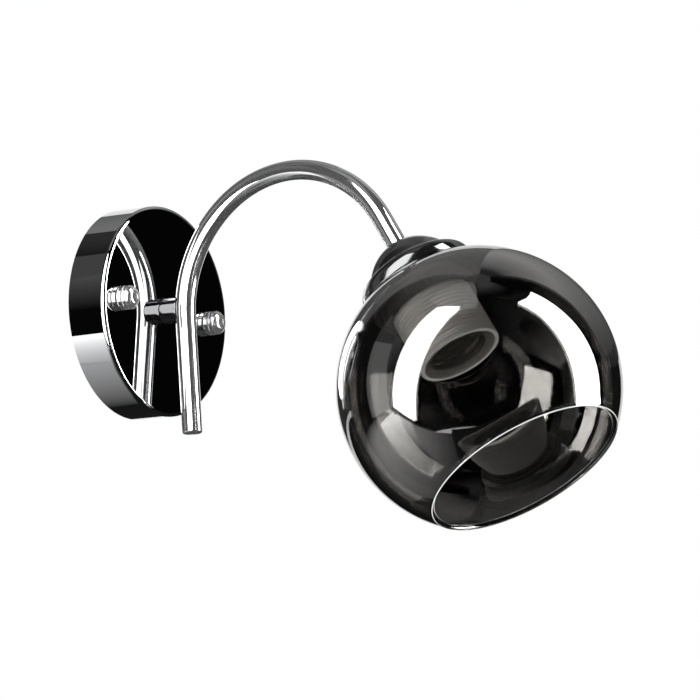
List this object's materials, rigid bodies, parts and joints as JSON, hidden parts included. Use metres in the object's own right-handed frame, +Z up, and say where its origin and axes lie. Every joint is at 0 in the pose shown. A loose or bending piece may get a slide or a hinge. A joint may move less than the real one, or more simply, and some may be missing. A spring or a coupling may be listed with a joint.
{
  "type": "globe wall sconce",
  "caption": "Wall light with a round pan, knurled cap nuts and a bent tube arm that carries a smoked glass globe, open at its lower side, round a screw lampholder.",
  "frame": {"origin": "centre of the two wall slots, on the wall plane behind the pan", "axes": "+X to the right seen from the room, +Y into the wall, +Z up; the lamp stands off the wall towards -Y"},
  "size_m": [0.13, 0.2594, 0.1792],
  "materials": {
    "chrome_plate": "polished plating, mirror",
    "chrome_tube": "polished plating on bent tube",
    "chrome_knurl": "knurled band and polished dome",
    "smoked_glass": "smoked glass with a thin mirror coat",
    "lampholder_plastic": "moulded, satin",
    "insulator_plastic": "moulded, dull",
    "brass": "bright turned",
    "zinc_steel": "zinc plated",
    "nylon": "moulded, translucent white",
    "silicone": "soft, clear grey",
    "flex_sheath": "smooth round sheath"
  },
  "bodies": {
    "fixture": {"wall_bracket": "zinc_steel", "stud_left": "zinc_steel", "stud_right": "zinc_steel", "stud_lock_nuts": "zinc_steel", "back_plate": "chrome_plate", "arm_stub": "chrome_plate", "stub_washer": "zinc_steel", "stub_nut": "brass", "arm_tube": "chrome_tube", "arm_end_plug": "chrome_tube", "lamp_cup": "chrome_plate", "cup_nipple": "brass", "cup_washer": "zinc_steel", "cup_lock_nut": "brass", "shade_collar": "chrome_plate", "shade_gasket": "silicone", "glass_globe": "smoked_glass", "lampholder_cap": "lampholder_plastic", "lampholder_skirt": "lampholder_plastic", "lampholder_insulator": "insulator_plastic", "screw_shell": "brass", "centre_contact": "brass", "terminal_block": "nylon", "terminal_screws": "brass", "earth_screw": "brass", "lamp_flex": "flex_sheath"},
    "cap_nut_left": {"cap_nut_left": "chrome_knurl"},
    "cap_nut_right": {"cap_nut_right": "chrome_knurl"},
    "shade_ring": {"shade_ring": "lampholder_plastic"}
  },
  "joints": [
    {"name": "cap_nut_left_turn", "type": "hinge", "parent": "fixture", "child": "cap_nut_left", "pos_m": [-0.03497, -0.0204, 0.00147], "axis": [0, -1, 0], "continuous": true},
    {"name": "cap_nut_right_turn", "type": "hinge", "parent": "fixture", "child": "cap_nut_right", "pos_m": [0.03497, -0.0204, -0.00147], "axis": [0, -1, 0], "continuous": true},
    {"name": "shade_ring_turn", "type": "hinge", "parent": "fixture", "child": "shade_ring", "pos_m": [0, -0.16678, -0.00739], "axis": [0, -0.5305, -0.8477], "continuous": true}
  ]
}
